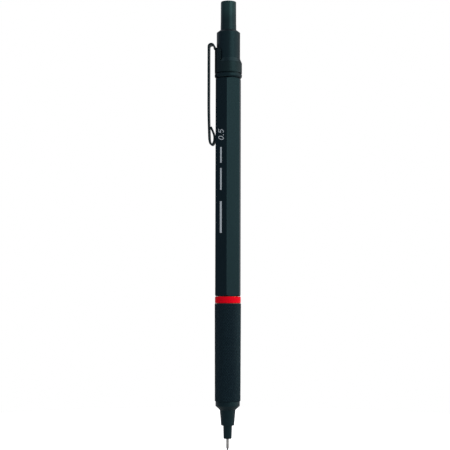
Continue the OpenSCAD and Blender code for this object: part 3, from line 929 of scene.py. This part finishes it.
def add_strip(sheet, row, shares):
    """Adds the strip, from the saddle's curve over into a flat sheet that narrows to a rounded end."""
    corner, curl_rows, fillet_rows = 0.7, 6, 4
    line = clip_path()
    start = next(i for i, p in enumerate(line) if p[1] > SADDLE_TOP + 0.02)
    gone = np.cumsum([0] + [np.linalg.norm(b - a) for a, b in zip(line, line[1:])])
    for i in range(start, len(line)):
        p = line[i]
        along = line[min(i + 1, len(line) - 1)] - line[i - 1]
        normal = np.array((-along[1], along[0])) / np.linalg.norm(along)
        curl = 1 - min(1.0, max(0.0, p[1] - SADDLE_TOP)) if i < start + curl_rows else 0.0
        half = STRIP_HALF + (END_HALF - STRIP_HALF) * gone[i] / gone[-1]
        if i < start + fillet_rows:
            half += FILLET * max(0.0, 1 - (gone[i] - 1) / FILLET) ** 2
        left = gone[-1] - gone[i]
        if left < corner:
            half -= corner - math.sqrt(corner ** 2 - (corner - left) ** 2)
        points = []
        for t in shares:
            s = half * t
            inwards = curl * SHEET_R * (1 - math.cos(s / SHEET_R)) * (1 if normal[0] < 0 else -1)
            out, up = p + normal * inwards
            points.append((-out, curl * SHEET_R * math.sin(s / SHEET_R) + (1 - curl) * s, up))
        fresh = sheet.row(points)
        sheet.join(row, fresh)
        row = fresh


def clip_sheet():
    """Ring, saddle and folded strip as one bent sheet with rounded edges."""
    strip_steps = 12
    shares = [2 * k / strip_steps - 1 for k in range(strip_steps + 1)]
    sheet = Sheet()
    add_strip(sheet, add_ring_and_saddle(sheet, shares), shares)
    thing = make_object("clip_sheet", sheet.points, sheet.faces)
    thick = thing.modifiers.new("thick", "SOLIDIFY")
    thick.thickness = SHEET * MM
    thick.offset = 0
    thick.use_even_offset = True
    thick.use_quality_normals = True
    bevel = thing.modifiers.new("edges", "BEVEL")
    bevel.width = 0.07 * MM
    bevel.segments = 3
    bevel.angle_limit = math.radians(50)
    with_modifiers_applied(thing)
    smooth(thing, math.radians(40))
    fit(thing, "clip_black", None, ["clip_band", "clip_arm"])
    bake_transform(thing)


# ---- Print on the barrel ----

PRINT_WAY = math.radians(240)       # the printed flat's side of the barrel, left of the front corner
INK = 0.012                         # thickness of the ink


def on_print_flat(along, across, lift):
    """A point on the printed flat. It reads up the barrel, with the letters' tops towards the clip."""
    out = Vector((math.cos(PRINT_WAY), math.sin(PRINT_WAY))) * (flat_height(across) + lift)
    up = Vector((math.sin(PRINT_WAY), -math.cos(PRINT_WAY))) * across
    return *(out + up), along


def stroke_edges(line, width, closed):
    """Left and right edges of a stroke along (along, across) points."""
    points = [Vector(p) for p in line]
    left, right = [], []
    for i, p in enumerate(points):
        behind = points[i - 1] if closed or i > 0 else p
        ahead = points[(i + 1) % len(points)] if closed or i < len(points) - 1 else p
        into = (p - behind if p != behind else ahead - p).normalized()
        onward = (ahead - p if ahead != p else p - behind).normalized()
        way = (into + onward).normalized()
        side = Vector((-way.y, way.x))
        stretch = 1 / max(0.5, side.dot(Vector((-into.y, into.x))))
        left.append(p + side * width / 2 * stretch)
        right.append(p - side * width / 2 * stretch)
    return left, right


def add_stroke(points, faces, line, width, closed=False):
    """Adds a printed stroke, as a thin solid with the ink's thickness."""
    base, count = len(points), len(line)
    for lift in (INK, 0):
        for edge in stroke_edges(line, width, closed):
            points += [on_print_flat(p.x, p.y, lift) for p in edge]
    top_left, top_right, low_left, low_right = (base + k * count for k in range(4))
    walls = ((top_left, top_right), (low_left, low_right), (top_left, low_left), (top_right, low_right))
    for i in range(count if closed else count - 1):
        n = (i + 1) % count
        faces += [(a + i, a + n, b + n, b + i) for a, b in walls]
    if not closed:
        for i in (0, count - 1):
            faces.append((top_left + i, top_right + i, low_right + i, low_left + i))


def arc(x, y, half_w, half_h, start, sweep, steps):
    """Points on an oval about (x, y), from an angle in degrees and round by a sweep."""
    turns = [math.radians(start + sweep * k / steps) for k in range(steps + 1)]
    return [(x + half_w * math.cos(a), y + half_h * math.sin(a)) for a in turns]


def size_print():
    """The lead size, 0.5, in plain slanted strokes, and plain bars where words were."""
    high, stroke, slant = 2.2, 0.24, 0.22
    head = high / 2 - stroke / 2
    zero_z, point_z, five_z, five_w = 100.0, 101.10, 102.22, 1.10
    zero = arc(zero_z, 0, 0.50, head, 0, 360, 40)[:-1]
    point = [(point_z - 0.15, 0.16 - high / 2), (point_z + 0.15, 0.16 - high / 2)]
    five = [(five_z + five_w / 2, head), (five_z - five_w * 0.36, head), (five_z - five_w * 0.44, 0.10)]
    five += arc(five_z - 0.02, -0.36, five_w / 2 - 0.08, 0.61, 132, -275, 16)
    points, faces = [], []
    for line, width, closed in ((zero, stroke, True), (point, 0.32, False), (five, stroke, False)):
        slanted = [(along + slant * across, across) for along, across in line]
        add_stroke(points, faces, slanted, width, closed)
    bars = ((91.9, 97.0, 0.6), (83.1, 90.2, 0.6), (69.2, 79.4, 0.74))
    for low, top, width in bars:
        add_stroke(points, faces, [(low, 0), (top, 0)], width)
    fit(make_object("size_print", points, faces), "print_grey", "housing")


# ---- Set ----

def direction(azimuth, elevation):
    """The way from the pencil to an azimuth (0 in front, 90 to the right) and elevation in degrees."""
    a, e = math.radians(azimuth), math.radians(elevation)
    return Vector((math.sin(a) * math.cos(e), -math.cos(a) * math.cos(e), math.sin(e)))


def softbox(name, azimuth, elevation, width, height, radiance, distance=2.0):
    """A soft rectangular light, measured in metres, that faces the middle of the pencil."""
    middle = Vector((0, 0, (cad_low.z + cad_high.z) / 2))
    away = direction(azimuth, elevation)
    light = bpy.data.lights.new(name, "AREA")
    light.shape = "RECTANGLE"
    light.size, light.size_y = width, height
    light.energy = radiance * math.pi * width * height
    thing = bpy.data.objects.new(name, light)
    bpy.context.scene.collection.objects.link(thing)
    thing.location = middle + away * distance
    thing.rotation_euler = (-away).to_track_quat("-Z", "Y").to_euler()
    thing.visible_camera = False


def lights():
    """The key stands high on the right, and lower boxes carry its light round the front and the side."""
    softbox("key_high", 75, 50, 2.60, 1.90, 1.20)
    softbox("front_right", 44, 14, 1.50, 0.75, 1.55)
    softbox("side_right", 94, -4, 2.30, 1.05, 1.15)
    softbox("front_fill", -30, 13, 2.30, 0.75, 0.20)
    softbox("back_left", -125, 8, 1.60, 1.20, 0.30)
    softbox("left_high", -80, 48, 1.90, 1.30, 0.55)


def surroundings():
    """A white set to the camera. Everything else sees a grey room, darker and cooler on the clip's side."""
    world = bpy.data.worlds.new("studio")
    world.use_nodes = True
    tree = world.node_tree
    tree.nodes.clear()
    way = add(tree, "ShaderNodeTexCoord").outputs["Generated"]
    across = add(tree, "ShaderNodeSeparateXYZ", {0: way}).outputs["X"]
    share = spread(tree, across, 0, 1, -0.8, 0.8)
    colour = tint(tree, share, (0.155, 0.175, 0.225), (0.45, 0.45, 0.45))
    seen = add(tree, "ShaderNodeBackground", {"Color": (1, 1, 1, 1), "Strength": 1.0})
    room = add(tree, "ShaderNodeBackground", {"Color": colour, "Strength": 1.0})
    path = add(tree, "ShaderNodeLightPath")
    mix = add(tree, "ShaderNodeMixShader", {
        0: path.outputs["Is Camera Ray"], 1: room.outputs[0], 2: seen.outputs[0]})
    add(tree, "ShaderNodeOutputWorld", {"Surface": mix.outputs[0]})
    bpy.context.scene.world = world


def floor():
    """A plain pale disc under the tip, as white to the camera as the set behind it."""
    reach, sides, low = 0.16 / MM, 96, cad_low.z / MM - 0.05
    points = [(reach * math.cos(math.tau * k / sides), reach * math.sin(math.tau * k / sides), low)
              for k in range(sides)]
    thing = make_object("floor", points, [tuple(range(sides))])
    material, tree, shader = blank_material("floor_pale", Roughness=0.9)
    haze = noise(tree, place(tree), 0.01)
    link(tree, tint(tree, haze, (0.66, 0.66, 0.66), (0.70, 0.70, 0.70)), shader, "Base Color")
    shader.inputs["Emission Color"].default_value = (1, 1, 1, 1)
    seen = add(tree, "ShaderNodeLightPath").outputs["Is Camera Ray"]
    link(tree, seen, shader, "Emission Strength")
    thing.data.materials.append(material)


def camera():
    """A long lens nearly level with the pencil and a little to the right of its front corner."""
    azimuth, elevation, roll = 6.2, -3.3, 0.13
    distance, aside = 0.416, 0.00098
    target = Vector((0, 0, 0.0719))
    back = direction(azimuth, elevation)
    data = bpy.data.cameras.new("camera")
    data.lens, data.sensor_width = 102.4, 36
    data.clip_start = 0.01
    thing = bpy.data.objects.new("camera", data)
    bpy.context.scene.collection.objects.link(thing)
    facing = (-back).to_track_quat("-Z", "Y")
    right = facing @ Vector((1, 0, 0))
    thing.rotation_mode = "QUATERNION"
    thing.rotation_quaternion = facing @ Matrix.Rotation(math.radians(roll), 4, "Z").to_quaternion()
    thing.location = target + back * distance - right * aside
    bpy.context.scene.camera = thing


dress_frame()
nozzle_shell()
nose_shell()
sleeve_tube()
lead_stick()
grip_sleeve()
accent_band()
barrel_shell()
end_collar()
collar_shell()
button_cap()
ferrule_shell()
eraser_plug()
springs()
clip_sheet()
size_print()
surroundings()
floor()
lights()
camera()
bpy.context.scene.view_settings.view_transform = "Standard"
